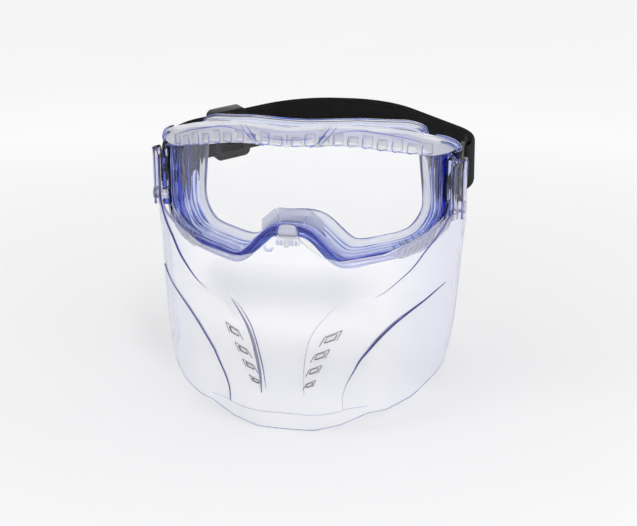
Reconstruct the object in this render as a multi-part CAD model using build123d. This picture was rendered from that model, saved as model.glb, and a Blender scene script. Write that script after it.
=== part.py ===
from build123d import *
from math import asin, atan2, cos, degrees, exp, hypot, radians, sin, sqrt
import os

# Safety goggle with a clip-on lower face guard and an elastic head strap.
# +X is the viewer's right when facing the front, the front faces -Y, +Z is up.
# The origin is the middle of the face seat: the seal's rear face on the symmetry
# plane, level with the two studs that hold the guard.

# ---------- goggle: driving dimensions (mm) ----------
front_depth = 39.0          # lens side of the frame, in front of the face seat
front_radius = 102.0        # wrap of the frame's front face
face_radius = 120.0         # curve of the seal that meets the face
frame_half_width = 82.0
frame_top = 45.0
frame_bottom = -29.0
nose_top = -12.5            # underside of the nose arch
nose_half_width = 9.0
rim_depth = 8.0
rim_width = 6.0
lip = 1.5                   # rim material in front of the lens
lens_thickness = 2.0
lens_bite = 3.0             # lens edge held in the groove
wall = 2.4
wall_inset = 2.0            # walls start this far inside the rim's edge
seal_narrowing = 11.0       # seal's side, inside the frame's
seal_top = 46.5
seal_bottom = -27.0
seal_nose_top = -11.0
seal_thickness = 3.0
seal_flange = 6.0
cover_thickness = 2.8
cover_overhang = 2.0        # cover above the rim's top edge
cover_height = 11.0
cover_reach = 2.5           # cover's tips beyond the frame's sides
vent_width = 4.6
vent_height = 3.0
vent_pitch = 7.2
vents_per_side = 10
baffle_slots = 9
baffle_pitch = 11.0
baffle_depth = 3.0
grille_width = 20.0
grille_height = 10.0
grille_thickness = 1.2
grille_ribs = 6
grille_lean = -28.0
flap_height = 13.0
flap_thickness = 1.2
flap_gap = 0.8
flap_width = 34.0
flap_slit_x = 5.2
flap_slit_lean = 14.0
nose_clip_width = 15.0
nose_clip_height = 12.0
nose_clip_thickness = 3.5
bracket_width = 3.6         # black side brackets on the front corners
bracket_thickness = 2.2

# ---------- side pivots and strap ----------
pivot_y = 5.0
pivot_z = 14.0
pin_radius = 2.5
pin_head_radius = 4.2
pin_head_thickness = 0.8
pin_clearance = 0.05
post_thickness = 1.4        # boss outside the frame's side
post_reach = 4.0
post_depth = 4.4            # its root, cut to the frame's side
clip_gap = 0.3
clip_thickness = 2.2
clip_hub_radius = 8.5
clip_arm = 2.6
clip_rear = 17.0            # pivot to the webbing bar
bar_radius = 1.1
bar_clearance = 0.1
strap_width = 25.0
strap_thickness = 1.6
strap_clearance = 0.5       # webbing edge to whatever it passes through
strap_tilt = 10.6           # the strap rises towards the back of the head
strap_flare = 8.1           # the strap's temple corner beyond the clip
temple_y = 43.0
temple_radius = 30.0
back_slope = 0.9385         # rearward run per sideways run, temple to back
back_half_width = 29.0
back_radius = 64.0
sewn_length = 22.0
stitch_rows = 2
stitch_clearance = 0.3
slider_length = 24.0
slider_height = 31.0
slider_wall = 1.4
slider_bar = 5.0
slider_travel = 18.0        # towards the back of the head
slider_fit = 0.3

# ---------- lower guard ----------
guard_wall = 1.5
ear_gap = 0.35              # ear to the pivot pin's head
ear_front = -2.0
ear_rear = 9.0
ear_top = 27.0
ear_foot = 6.0              # ear below the stud, inside the guard's wall
ear_corner = 5.0
stud_radius = 2.5
stud_clearance = 0.3
stud_cap = 1.0
guard_bottom = -118.0
slot_width = 5.6
slot_height = 3.8
slot_rise = 1.9             # each slot climbs this much outwards
slot_shift = 2.2            # and its top stands this much further out than its foot
slot_pitch = 9.4
slot_first_x = 26.4
slot_first_z = -62.0
slot_step_x = 4.2
slots_per_side = 4
peg_radius = 1.9
peg_clearance = 0.3

# ---------- derived places ----------
front_axis_y = front_radius - front_depth
post_face = frame_half_width + post_thickness
clip_x = post_face + clip_gap
clip_outer = clip_x + clip_thickness
head_x = clip_outer + clip_gap / 2
ear_x = head_x + pin_head_thickness + ear_gap
peg_z = nose_top - 2.6
guard_half_width = ear_x + guard_wall
seal_half_width = frame_half_width - seal_narrowing
cover_tip = frame_half_width + cover_reach
temple_x = clip_outer + strap_flare
back_y = temple_y + back_slope * (temple_x - back_half_width)
tall = 400.0


def mirrored(points):
    """Right-hand points, top to bottom, completed with their left-hand copies."""
    left = [(-x, z) for x, z in reversed(points) if x > 0]
    return points + left


def outline(points, radii):
    """Closed rounded outline in the front view (X, Z)."""
    full = mirrored(points)
    left = [r for (x, _), r in reversed(list(zip(points, radii))) if x > 0]
    wire = FilletPolyline(*full, radius=radii + left, close=True)
    return Plane.XZ * make_face(wire)


def prism(face, y_front, y_rear):
    """A front-view outline carried from y_rear forward to y_front."""
    return extrude(Pos(0, y_rear, 0) * face, amount=y_rear - y_front)


def front_layer(outer, inner):
    """Curved sheet between two radii about the frame's wrap axis."""
    layer = Cylinder(outer, tall) - Cylinder(inner, tall)
    return Pos(0, front_axis_y, 0) * layer


def face_layer(outer, inner):
    """Curved sheet between two radii about the face's axis."""
    layer = Cylinder(outer, tall) - Cylinder(inner, tall)
    return Pos(0, face_radius, 0) * layer


def front_y(x, radius=front_radius):
    return front_axis_y - sqrt(radius * radius - x * x)


rim_points = [
    (0, frame_top),
    (34, frame_top + 1.5),
    (frame_half_width - 20, frame_top - 2.5),
    (frame_half_width, frame_top - 13.5),
    (frame_half_width, -8),
    (frame_half_width - 10, frame_bottom + 6),
    (40, frame_bottom + 2.5),
    (27, frame_bottom),
    (nose_half_width, nose_top),
]
rim_radii = [60, 60, 40, 8, 14, 12, 30, 8, 7]
seal_points = [
    (0, seal_top - 1),
    (30, seal_top),
    (seal_half_width - 15, seal_top - 1.5),
    (seal_half_width - 5, seal_top - 5),
    (seal_half_width, -6),
    (seal_half_width - 9, seal_bottom + 5),
    (40, seal_bottom + 2),
    (27, seal_bottom),
    (nose_half_width, seal_nose_top),
]
seal_radii = [60, 60, 25, 8, 14, 12, 30, 8, 7]
rim_outline = outline(rim_points, rim_radii)
seal_outline = outline(seal_points, seal_radii)


def inset(face, amount):
    return offset(face, amount=-amount, kind=Kind.ARC)


# ---------- goggle ----------
def make_lens():
    front = front_radius - lip
    plate = prism(inset(rim_outline, rim_width - lens_bite), -60, 40)
    return plate & front_layer(front, front - lens_thickness)


def make_rim(lens):
    ring = prism(rim_outline, -60, 40) - prism(inset(rim_outline, rim_width), -61, 41)
    return (ring & front_layer(front_radius, front_radius - rim_depth)) - lens


def wall_loft(extra):
    front = Pos(0, -60, 0) * inset(rim_outline, wall_inset + extra)
    rear = Pos(0, 40, 0) * inset(seal_outline, extra)
    return loft([front.face(), rear.face()], ruled=True)


def behind_rim():
    block = Pos(0, 40, 0) * Box(tall, 100, tall)
    reach = Pos(0, front_axis_y, 0) * Cylinder(front_radius - rim_depth, tall)
    face_side = Pos(0, face_radius, 0) * Cylinder(face_radius + seal_thickness, tall)
    return (reach - face_side) & (Pos(0, -50, 0) * block)


def make_walls():
    return (wall_loft(0) - wall_loft(wall)) & behind_rim()


def make_seal():
    ring = prism(seal_outline, -20, 60) - prism(inset(seal_outline, seal_flange), -21, 61)
    return ring & face_layer(face_radius + seal_thickness, face_radius)


def make_cover():
    top = frame_top + cover_overhang
    points = [
        (0, top - 0.8),
        (21, top + 1),
        (34, top + 0.5),
        (frame_half_width - 22, top - 3.5),
        (frame_half_width - 2, frame_top - 9),
        (cover_tip, frame_top - 13),
        (frame_half_width - 4, frame_top - 15.5),
        (frame_half_width - 26, top - cover_height - 3.5),
        (30, top - cover_height + 0.6),
        (0, top - cover_height),
    ]
    shape = outline(points, [20, 12, 20, 30, 10, 1.2, 8, 40, 40, 60])
    front = front_radius + cover_thickness
    band = prism(shape, -70, 40) & front_layer(front, front_radius)
    top_wrap = (prism(shape, -70, 40) - prism(rim_outline, -71, 41)) & front_layer(
        front_radius, front_radius - rim_depth
    )
    cover = band + top_wrap
    for i in range(vents_per_side):
        x = vent_pitch * (i + 0.7)
        z = top - cover_height * 0.62 - 5.5 * (x / cover_tip) ** 2
        for side in (-1, 1):
            y = front_y(x)
            turn = side * degrees(atan2(x, front_axis_y - y))
            hole = Rot(0, 0, turn) * Box(vent_width, 4 * cover_thickness, vent_height)
            cover -= Pos(side * x, y - cover_thickness / 2, z) * hole
    return cover


def make_baffle():
    """Slotted strip inside the rim's top edge that turns the air through the vents."""
    shape = inset(rim_outline, rim_width)
    strip = prism(shape, -60, 40) - prism(Pos(0, 0, -baffle_depth) * shape, -61, 41)
    strip &= front_layer(front_radius - lip - lens_thickness - 0.2, front_radius - rim_depth + 0.5)
    strip &= Pos(0, 0, frame_top + 35) * Box(1.4 * frame_half_width, tall, 100)
    for i in range(baffle_slots):
        x = baffle_pitch * (i - (baffle_slots - 1) / 2)
        strip -= Pos(x, front_y(abs(x)) + rim_depth, frame_top) * Box(3, 3.4, 30)
    return strip


def make_grille(side):
    """Ribbed lower vent on the frame's front corner."""
    x0 = frame_half_width - 8 - grille_width / 2
    z0 = frame_bottom + 7 + grille_height / 2
    pad = Rot(0, grille_lean, 0) * Box(grille_width, tall, grille_height)
    pad = Pos(x0, 0, z0) * pad
    front = front_radius + grille_thickness
    plate = pad & front_layer(front, front_radius)
    ribs = []
    for i in range(grille_ribs):
        step = (i - (grille_ribs - 1) / 2) * grille_width / grille_ribs
        rib = Pos(step, 0, 0) * Box(1.3, tall, grille_height - 1)
        rib = Pos(x0, 0, z0) * (Rot(0, grille_lean, 0) * rib)
        ribs.append(rib & front_layer(front + 1.0, front - 0.2))
    grille = plate + ribs
    front_half = Pos(0, -tall / 2 + front_axis_y, 0) * Box(tall, tall, tall)
    grille = grille & front_half & prism(rim_outline, -70, 60)
    return grille if side > 0 else grille.mirror(Plane.YZ)


def make_flaps():
    """Three thin nose flaps, split by two slits, rising behind the nose arch."""
    arch = inset(rim_outline, 1.0)
    inner = Pos(0, 0, flap_height) * arch
    band = prism(arch, -60, 40) - prism(inner, -61, 41)
    rear = front_radius - rim_depth
    band &= front_layer(rear, rear - flap_thickness)
    band &= Pos(0, -tall / 2 + front_axis_y, nose_top + 8) * Box(flap_width, tall, 25)
    for side in (-1, 1):
        slit = Rot(0, side * flap_slit_lean, 0) * Box(flap_gap, tall, 60)
        band -= Pos(side * flap_slit_x, 0, nose_top) * slit
    return band & wall_loft(wall)


def make_nose_clip():
    z0 = nose_top - 4.5 + nose_clip_height / 2
    block = Pos(0, -front_depth, z0) * Box(nose_clip_width, 12, nose_clip_height)
    front = front_radius + nose_clip_thickness
    clip = block & front_layer(front, front_radius)
    clip = fillet(clip.edges().filter_by(Axis.Y), 2.5)
    pocket = Pos(0, -front_depth, peg_z) * Rot(90, 0, 0) * Cylinder(
        peg_radius + peg_clearance, 30
    )
    return clip - pocket


def make_post(bracket):
    """Boss on the frame's side: it holds the pivot pin and the stud's open fork."""
    front, rear = -post_reach, pivot_y + post_reach + 7.5
    middle = Pos(post_face - post_depth / 2, (front + rear) / 2, 10)
    base = middle * Box(post_depth, rear - front, 32)
    filled = prism(rim_outline, -70, 60) & front_layer(front_radius, 10)
    gap = 2 * (stud_radius + stud_clearance)
    fork = Pos(post_face, -10, 0) * Box(40, 20 + gap, gap)
    hole = Pos(post_face, pivot_y, pivot_z) * Rot(0, 90, 0) * Cylinder(pin_radius, 20)
    return base - filled - fork - hole - bracket


def make_pin():
    shaft_length = head_x - frame_half_width
    shaft = Pos(frame_half_width + shaft_length / 2, pivot_y, pivot_z) * Rot(0, 90, 0)
    pin = shaft * Cylinder(pin_radius, shaft_length)
    head = Pos(head_x + pin_head_thickness / 2, pivot_y, pivot_z) * Rot(0, 90, 0)
    return pin + head * Cylinder(pin_head_radius, pin_head_thickness)


def make_bracket():
    """Black curved bracket hugging the frame's front corner."""
    inner_x = frame_half_width - bracket_width
    points = [
        (inner_x - 1, -12),
        (inner_x + 1.5, 6),
        (inner_x, 26),
        (frame_half_width - 0.8, frame_top - 17),
        (frame_half_width - 1, 4),
    ]
    shape = Plane.XZ * make_face(Polyline(*points, close=True))
    front = front_radius + bracket_thickness
    return prism(shape, -70, 40) & front_layer(front, front_radius)


# ---------- strap, built flat and level, then tipped about the pivots ----------
def tipped(part):
    here = Pos(0, pivot_y, pivot_z)
    return here * Rot(strap_tilt, 0, 0) * here.inverse() * part


bar_x = clip_x + clip_thickness / 2
bar_y = pivot_y + clip_rear
loop_radius = bar_radius + bar_clearance + strap_thickness / 2
lead_length = hypot(temple_x - bar_x, temple_y - bar_y)
lead_angle = atan2(temple_x - bar_x, temple_y - bar_y) - asin(loop_radius / lead_length)
out_x, out_y = cos(lead_angle), -sin(lead_angle)
start = (bar_x + loop_radius * out_x, bar_y + loop_radius * out_y)
layer_gap = 2 * loop_radius


def make_clip():
    slot_half = strap_width / 2 + strap_clearance
    hub = Cylinder(clip_hub_radius, clip_thickness)
    reach = clip_rear + bar_radius
    flat = Pos(0, reach / 2) * Rectangle(2 * (slot_half + clip_arm), reach)
    slot_front = clip_rear - loop_radius - strap_thickness / 2 - 0.6
    flat -= Pos(0, (slot_front + reach) / 2) * Rectangle(2 * slot_half, reach - slot_front)
    flat = fillet(flat.vertices().group_by(Axis.Y)[0], 8)
    plate = extrude(flat, amount=clip_thickness / 2, both=True) + hub
    plate -= Cylinder(pin_radius + pin_clearance, 10)
    standing = Pos(bar_x, pivot_y, pivot_z) * Rot(0, 90, 0) * plate
    bar = Pos(bar_x, bar_y, pivot_z) * Cylinder(bar_radius, 2 * (slot_half + clip_arm))
    return standing + bar


def ribbon(line, height, thickness):
    """Webbing along a level line, centred on the pivots' height."""
    face = trace(line, thickness)
    return Pos(0, 0, pivot_z - height / 2) * extrude(face, amount=height)


def make_band():
    right = [start, (temple_x, temple_y), (back_half_width, back_y)]
    route = right + [(-x, y) for x, y in reversed(right)]
    radii = [temple_radius, back_radius, back_radius, temple_radius]
    return ribbon(FilletPolyline(*route, radius=radii), strap_width, strap_thickness)


def lead_frame():
    """Local frame at the webbing bar: +Y runs back along the strap."""
    return Pos(bar_x, bar_y, pivot_z) * Rot(0, 0, -degrees(lead_angle))


def make_fold():
    """Webbing turned round the bar."""
    ring = Cylinder(loop_radius + strap_thickness / 2, strap_width)
    ring -= Cylinder(loop_radius - strap_thickness / 2, strap_width)
    ring &= Pos(0, -50, 0) * Box(100, 100, 100)
    return lead_frame() * ring


run_x, run_y = back_half_width - temple_x, back_y - temple_y
run_length = hypot(run_x, run_y)
run_x, run_y = run_x / run_length, run_y / run_length
slider_at = 37.0            # slider's place along the straight run, from the temple corner


def inner_line(shift, reach):
    """Line beside the band, shift nearer the head, ending reach along the straight run."""
    in_lead = (-out_x, -out_y)
    in_run = (-run_y, run_x)
    share = shift / (1 + in_lead[0] * in_run[0] + in_lead[1] * in_run[1])
    corner = (
        temple_x + share * (in_lead[0] + in_run[0]),
        temple_y + share * (in_lead[1] + in_run[1]),
    )
    first = (start[0] + shift * in_lead[0], start[1] + shift * in_lead[1])
    last = (
        temple_x + reach * run_x + shift * in_run[0],
        temple_y + reach * run_y + shift * in_run[1],
    )
    return FilletPolyline(first, corner, last, radius=temple_radius - shift)


def make_inner_layer():
    """Second layer of webbing, from the left bar back through the slider."""
    reach = slider_at + slider_length / 2 + slider_travel + 3
    line = inner_line(layer_gap, reach)
    return ribbon(line, strap_width, strap_thickness).mirror(Plane.YZ)


def slice_along(part, y_from, y_to):
    return part & Pos(0, (y_from + y_to) / 2, 0) * Box(tall, y_to - y_from, tall)


def make_sewn_end():
    """The right-hand end of the webbing, turned back and sewn to the band."""
    whole = ribbon(inner_line(layer_gap, slider_at), strap_width, strap_thickness)
    return slice_along(whole, 0, bar_y + sewn_length)


def make_stitching():
    gap = layer_gap - strap_thickness - stitch_clearance
    whole = ribbon(inner_line(layer_gap / 2, slider_at), strap_width - 6, gap)
    rows = []
    for i in range(stitch_rows):
        y = bar_y + sewn_length * (0.45 + 0.35 * i)
        rows.append(slice_along(whole, y, y + 1.5))
    return Compound(children=rows)


def slider_frame():
    """Local frame on the straight run: +X along the strap, +Y away from the head."""
    x = temple_x + slider_at * run_x
    y = temple_y + slider_at * run_y
    turn = degrees(atan2(-run_y, -run_x))
    return Pos(x, y, pivot_z) * Rot(0, 0, turn)


def make_slider():
    half = strap_thickness / 2
    outer_face = half + slider_fit
    inner_face = -(layer_gap + half + slider_fit)
    depth = outer_face - inner_face
    middle = (outer_face + inner_face) / 2
    body = Box(slider_length, depth + 2 * slider_wall, slider_height)
    body = fillet(body.edges().filter_by(Axis.Y), 4)
    body -= Box(slider_length + 2, depth, strap_width + 2 * strap_clearance)
    window = Box(slider_length - 9, depth + 20, strap_width - 4)
    body -= window
    bar_depth = layer_gap - strap_thickness - 2 * slider_fit
    bar = Pos(0, -layer_gap / 2 - middle, 0) * Box(slider_bar, bar_depth, slider_height - 1)
    body = body + bar
    placed = slider_frame() * Pos(0, middle, 0) * body
    return placed.mirror(Plane.YZ)


# ---------- lower guard ----------
guard_levels = [4, -12, -26, -42, -60, -80, -98, guard_bottom - 4]
guard_fronts = [-44.5, -44.5, -46.5, -50.0, -52.5, -52.0, -50.5, -47.5]
guard_widths = [0.0, 0.0, -1.4, -2.4, -3.7, -6.2, -10.0, -16.0]
guard_rears = [10.0, 10.0, 10.0, 10.0, 9.0, 6.0, 2.0, -4.0]
muzzle_heights = [0.0, 0.0, 0.3, 3.0, 6.0, 4.6, 3.0, 1.5]
muzzle_half_width = 34.0


def guard_section(level, grow):
    """Plan section of the guard's skin, or of its inside where grow is negative."""
    z = guard_levels[level]
    half = guard_half_width + guard_widths[level] + grow
    rear = guard_rears[level]
    deep = rear - guard_fronts[level] + grow
    points = []
    count = 12
    for i in range(-count, count + 1):
        angle = radians(90 * i / count)
        x = half * sin(angle)
        bump = muzzle_heights[level] * exp(-((x / muzzle_half_width) ** 4))
        points.append((x, rear - deep * cos(angle) - bump))
    points[0] = (-half, rear)
    points[-1] = (half, rear)
    back = rear if grow >= 0 else rear + 40
    curve = Spline(*points)
    if grow >= 0:
        edge = curve + Line(points[-1], points[0])
    else:
        edge = curve + Polyline(points[-1], (half, back), (-half, back), points[0])
    return Pos(0, 0, z) * make_face(edge)


def guard_skin():
    levels = range(len(guard_levels))
    solid = loft([guard_section(i, 0).face() for i in levels])
    hollow = loft([guard_section(i, -guard_wall).face() for i in levels])
    return solid, hollow


def guard_profile():
    """Front view of the guard below its top edge and above its bottom edge."""
    points = [
        (0, nose_top + 1.5),
        (6, nose_top + 1.5),
        (11, nose_top - 3),
        (19, frame_bottom + 8),
        (28, frame_bottom + 5.5),
        (guard_half_width - 36.7, frame_bottom + 9),
        (guard_half_width - 25.7, frame_bottom + 14),
        (guard_half_width - 12.7, -8),
        (guard_half_width - 4.7, -2.5),
        (guard_half_width + 5, -1),
        (guard_half_width + 5, guard_bottom + 42),
        (guard_half_width - 10.7, guard_bottom + 26),
        (guard_half_width - 22.7, guard_bottom + 16),
        (53, guard_bottom + 10.5),
        (44, guard_bottom + 9.5),
        (30, guard_bottom + 3.5),
        (16, guard_bottom),
    ]
    full = mirrored(points)
    return Plane.XZ * make_face(Polyline(*full, close=True))


def slot_place(i):
    return slot_first_x - slot_step_x * i, slot_first_z - slot_pitch * i


def slot_prism(side, i):
    """Leaning four-sided breathing slot, cut straight back."""
    x, z = slot_place(i)
    foot = [(x - slot_width / 2, z - slot_rise / 2), (x + slot_width / 2, z + slot_rise / 2)]
    low = [(px - slot_shift / 2, pz - slot_height / 2) for px, pz in foot]
    high = [(px + slot_shift / 2, pz + slot_height / 2) for px, pz in reversed(foot)]
    corners = [(side * px, pz) for px, pz in low + high]
    return prism(Plane.XZ * make_face(Polyline(*corners, close=True)), -80, -30)


def make_ear(side):
    """Upright tab with a rounded top, outside the pivot pin's head."""
    height = ear_top + ear_foot
    blade = Box(guard_wall, ear_rear - ear_front, height)
    blade = fillet(blade.edges().filter_by(Axis.X).group_by(Axis.Z)[-1], ear_corner)
    return Pos(side * (ear_x + guard_wall / 2), (ear_front + ear_rear) / 2, ear_top - height / 2) * blade


def make_guard(solid, hollow):
    shell = (solid - hollow) & prism(guard_profile(), -80, 30)
    for side in (-1, 1):
        shell += make_ear(side)
        shell -= Pos(side * ear_x, 0, 0) * Rot(0, 90, 0) * Cylinder(stud_radius, 20)
        for i in range(slots_per_side):
            shell -= slot_prism(side, i)
    return shell


def make_stud():
    inner_x = frame_half_width + stud_clearance
    length = guard_half_width - inner_x
    stud = Pos(inner_x + length / 2, 0, 0) * Rot(0, 90, 0) * Cylinder(stud_radius, length)
    cap = Pos(guard_half_width + stud_cap / 2, 0, 0) * Rot(0, 90, 0)
    return stud + cap * Cylinder(stud_radius + 1, stud_cap)


def make_peg(hollow):
    reach = Pos(0, -45, peg_z) * Rot(90, 0, 0) * Cylinder(peg_radius, 12.5)
    return reach & hollow


def write(name, part):
    export_step(part if isinstance(part, Compound) else Compound(children=[part]),
                f"parts/{name}.step")


def both_sides(name, part):
    write(f"{name}_right", part)
    write(f"{name}_left", part.mirror(Plane.YZ))


os.makedirs("parts", exist_ok=True)
lens = make_lens()
rim = make_rim(lens)
walls = make_walls()
write("lens", lens)
write("frame_rim", rim)
write("frame_walls", walls)
write("face_seal", make_seal())
write("nose_flaps", make_flaps())
write("brow_cover", make_cover())
write("brow_baffle", make_baffle())
write("lower_vent_right", make_grille(1))
write("lower_vent_left", make_grille(-1))
write("nose_clip", make_nose_clip())
bracket = make_bracket()
both_sides("side_post", make_post(bracket))
both_sides("pivot_pin", make_pin())
both_sides("side_bracket", bracket)
both_sides("strap_clip", tipped(make_clip()))
write("strap_band", tipped(make_band()))
both_sides("strap_fold", tipped(make_fold()))
write("strap_sewn_end", tipped(make_sewn_end()))
write("strap_stitching", tipped(make_stitching()))
write("strap_inner_layer", tipped(make_inner_layer()))
write("strap_slider", tipped(make_slider()))
guard_solid, guard_hollow = guard_skin()
write("guard_shell", make_guard(guard_solid, guard_hollow))
write("guard_nose_peg", make_peg(guard_hollow))
both_sides("guard_stud", make_stud())
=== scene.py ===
import math

import bmesh
import bpy
import numpy as np
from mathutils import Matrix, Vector


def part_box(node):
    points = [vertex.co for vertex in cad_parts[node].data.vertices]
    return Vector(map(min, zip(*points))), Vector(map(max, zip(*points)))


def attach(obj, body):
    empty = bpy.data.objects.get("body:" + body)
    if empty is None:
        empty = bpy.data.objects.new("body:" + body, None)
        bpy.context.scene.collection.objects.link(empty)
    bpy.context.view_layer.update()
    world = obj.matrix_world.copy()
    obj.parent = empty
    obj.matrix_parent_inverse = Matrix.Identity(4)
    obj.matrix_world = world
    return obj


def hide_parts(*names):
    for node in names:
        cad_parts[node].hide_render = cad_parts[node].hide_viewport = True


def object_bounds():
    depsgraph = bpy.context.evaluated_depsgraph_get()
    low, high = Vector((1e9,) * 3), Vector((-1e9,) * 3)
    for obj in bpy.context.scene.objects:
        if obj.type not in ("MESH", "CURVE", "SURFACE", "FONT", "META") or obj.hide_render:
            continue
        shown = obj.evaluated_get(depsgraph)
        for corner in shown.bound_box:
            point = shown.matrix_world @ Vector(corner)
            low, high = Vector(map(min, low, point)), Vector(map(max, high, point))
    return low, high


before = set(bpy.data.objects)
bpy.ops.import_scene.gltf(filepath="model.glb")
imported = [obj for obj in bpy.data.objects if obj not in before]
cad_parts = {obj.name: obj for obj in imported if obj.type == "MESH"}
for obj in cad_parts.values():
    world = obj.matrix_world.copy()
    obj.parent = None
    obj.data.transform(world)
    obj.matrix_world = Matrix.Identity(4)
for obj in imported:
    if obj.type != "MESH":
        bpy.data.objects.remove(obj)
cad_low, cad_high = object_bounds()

# Safety goggle with a clip-on guard. Sizes below are in millimetres, places come from
# the frame's boxes, and add_mesh() turns them into metres.
MM = 0.001
PER_MM = 1000.0


def box_mm(node):
    low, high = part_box(node)
    return [c * PER_MM for c in low], [c * PER_MM for c in high]


rim_low, rim_high = box_mm("frame_rim")
seal_low, seal_high = box_mm("face_seal")
pin_low, pin_high = box_mm("pivot_pin_right")

FRONT_RADIUS = 102.0
FACE_RADIUS = 120.0
SEAL_THICKNESS = 3.0
LENS_DEPTH = 1.5
LENS_THICKNESS = 2.0
half_width = rim_high[0]
front_axis_y = rim_low[1] + FRONT_RADIUS
rim_top = rim_high[2] - 1.3
rim_bottom = rim_low[2]
nose_top = rim_bottom + 16.5
PORTS = 10
seal_half = seal_high[0]
seal_top = seal_high[2]
seal_bottom = seal_low[2]
SIDES = (("right", 1), ("left", -1))


# ---------- materials ----------
def new_material(name):
    material = bpy.data.materials.new(name)
    material.use_nodes = True
    tree = material.node_tree
    return material, tree, tree.nodes["Principled BSDF"], tree.nodes["Material Output"]


def add_bump(tree, shader, height, strength, distance):
    bump = tree.nodes.new("ShaderNodeBump")
    bump.inputs["Strength"].default_value = strength
    bump.inputs["Distance"].default_value = distance
    tree.links.new(height, bump.inputs["Height"])
    tree.links.new(bump.outputs["Normal"], shader.inputs["Normal"])


def noise(tree, scale, detail=3.0):
    """Noise fixed to the object, in the object's own metres."""
    where = tree.nodes.new("ShaderNodeTexCoord")
    texture = tree.nodes.new("ShaderNodeTexNoise")
    texture.inputs["Scale"].default_value = scale
    texture.inputs["Detail"].default_value = detail
    tree.links.new(where.outputs["Object"], texture.inputs["Vector"])
    return texture.outputs["Fac"]


def ramp(tree, value, low, high, at=(0.35, 0.65)):
    """A colour that runs from low to high as the value crosses the two marks."""
    node = tree.nodes.new("ShaderNodeValToRGB")
    node.color_ramp.elements[0].position = at[0]
    node.color_ramp.elements[1].position = at[1]
    node.color_ramp.elements[0].color = (*low, 1)
    node.color_ramp.elements[1].color = (*high, 1)
    tree.links.new(value, node.inputs["Fac"])
    return node.outputs["Color"]


def clear_plastic(name, colour, absorb, density, ior=1.49, rough=0.03, wave=0.25, scale=60, clear=1.0):
    """Moulded clear plastic, tinted by its depth, with faint flow marks."""
    material, tree, shader, output = new_material(name)
    shader.inputs["Transmission Weight"].default_value = clear
    shader.inputs["IOR"].default_value = ior
    shader.inputs["Roughness"].default_value = rough
    flow = noise(tree, scale)
    pale = tuple(min(1.0, c * 1.04) for c in colour)
    tree.links.new(ramp(tree, flow, colour, pale), shader.inputs["Base Color"])
    add_bump(tree, shader, flow, wave, 0.0004)
    depth = tree.nodes.new("ShaderNodeVolumeAbsorption")
    depth.inputs["Color"].default_value = (*absorb, 1)
    depth.inputs["Density"].default_value = density
    tree.links.new(depth.outputs["Volume"], output.inputs["Volume"])
    return material


def moulded_black(name):
    """Fine spark-eroded black nylon, a little shinier where it is rubbed."""
    material, tree, shader, _ = new_material(name)
    grain = noise(tree, 2600, 6)
    worn = noise(tree, 70, 2)
    tree.links.new(ramp(tree, worn, (0.0025, 0.0025, 0.003), (0.006, 0.006, 0.007)),
                   shader.inputs["Base Color"])
    tree.links.new(ramp(tree, worn, (0.34, 0.34, 0.34), (0.5, 0.5, 0.5)),
                   shader.inputs["Roughness"])
    shader.inputs["Specular IOR Level"].default_value = 0.35
    add_bump(tree, shader, grain, 0.35, 0.00008)
    return material


def webbing_black(name):
    """Knitted elastic: lengthwise cords crossed by fine slanting picks."""
    material, tree, shader, _ = new_material(name)
    uv = tree.nodes.new("ShaderNodeUVMap")
    waves = []
    for direction, scale in (("X", 0.32), ("Y", 0.26)):
        node = tree.nodes.new("ShaderNodeTexWave")
        node.wave_type = "BANDS"
        node.bands_direction = direction
        node.inputs["Scale"].default_value = scale
        node.inputs["Distortion"].default_value = 0.4
        node.inputs["Detail"].default_value = 1.0
        tree.links.new(uv.outputs["UV"], node.inputs["Vector"])
        waves.append(node.outputs["Fac"])
    both = tree.nodes.new("ShaderNodeMath")
    both.operation = "MULTIPLY_ADD"
    tree.links.new(waves[0], both.inputs[0])
    both.inputs[1].default_value = 0.55
    tree.links.new(waves[1], both.inputs[2])
    yarn = ramp(tree, both.outputs[0], (0.0012, 0.0012, 0.0012), (0.011, 0.011, 0.0115), (0.2, 1.0))
    tree.links.new(yarn, shader.inputs["Base Color"])
    shader.inputs["Roughness"].default_value = 0.78
    shader.inputs["Sheen Weight"].default_value = 0.03
    shader.inputs["Specular IOR Level"].default_value = 0.15
    add_bump(tree, shader, both.outputs[0], 0.9, 0.00025)
    return material


def painted_dark_line(name, dark, light):
    """Painted dark line: an opaque deep colour standing for the dark refraction that clear plastic shows
    where it folds or is cut.
    """
    material, tree, shader, _ = new_material(name)
    grain = noise(tree, 90)
    tree.links.new(ramp(tree, grain, dark, light), shader.inputs["Base Color"])
    shader.inputs["Roughness"].default_value = 0.22
    shader.inputs["Coat Weight"].default_value = 0.6
    add_bump(tree, shader, grain, 0.1, 0.0002)
    return material


PVC = clear_plastic("blue_pvc", (0.88, 0.92, 1.0), (0.08, 0.20, 0.84), 120, 1.53, 0.02)
COBALT = clear_plastic("cobalt_pvc", (0.60, 0.70, 1.0), (0.03, 0.11, 0.75), 420, 1.5, 0.02)
TRIM = clear_plastic("clear_trim", (0.985, 0.985, 1.0), (0.30, 0.34, 0.92), 48, 1.50, 0.03, clear=0.60)
SEAL = clear_plastic("soft_seal", (0.95, 0.96, 1.0), (0.32, 0.40, 0.86), 50, 1.42, 0.12, clear=0.85)
LENS = clear_plastic("lens_clear", (0.99, 0.99, 1.0), (0.6, 0.66, 0.95), 8, 1.30, 0.0, 0.0)
GUARD = clear_plastic("guard_clear", (0.975, 0.975, 0.995), (0.5, 0.5, 0.86), 22, 1.42, 0.03, 0.1, 25, 0.8)
EAR = clear_plastic("ear_clear", (0.96, 0.96, 1.0), (0.34, 0.36, 0.85), 90, 1.5, 0.02)
FLAP = clear_plastic("flap_grey", (0.66, 0.68, 0.78), (0.5, 0.52, 0.8), 60, 1.42, 0.12, clear=0.7)
# painted shade: the four line colours below stand for dark refraction at folds, edges and slot rims
NAVY = painted_dark_line("crease_navy", (0.010, 0.004, 0.15), (0.025, 0.012, 0.26))
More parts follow.
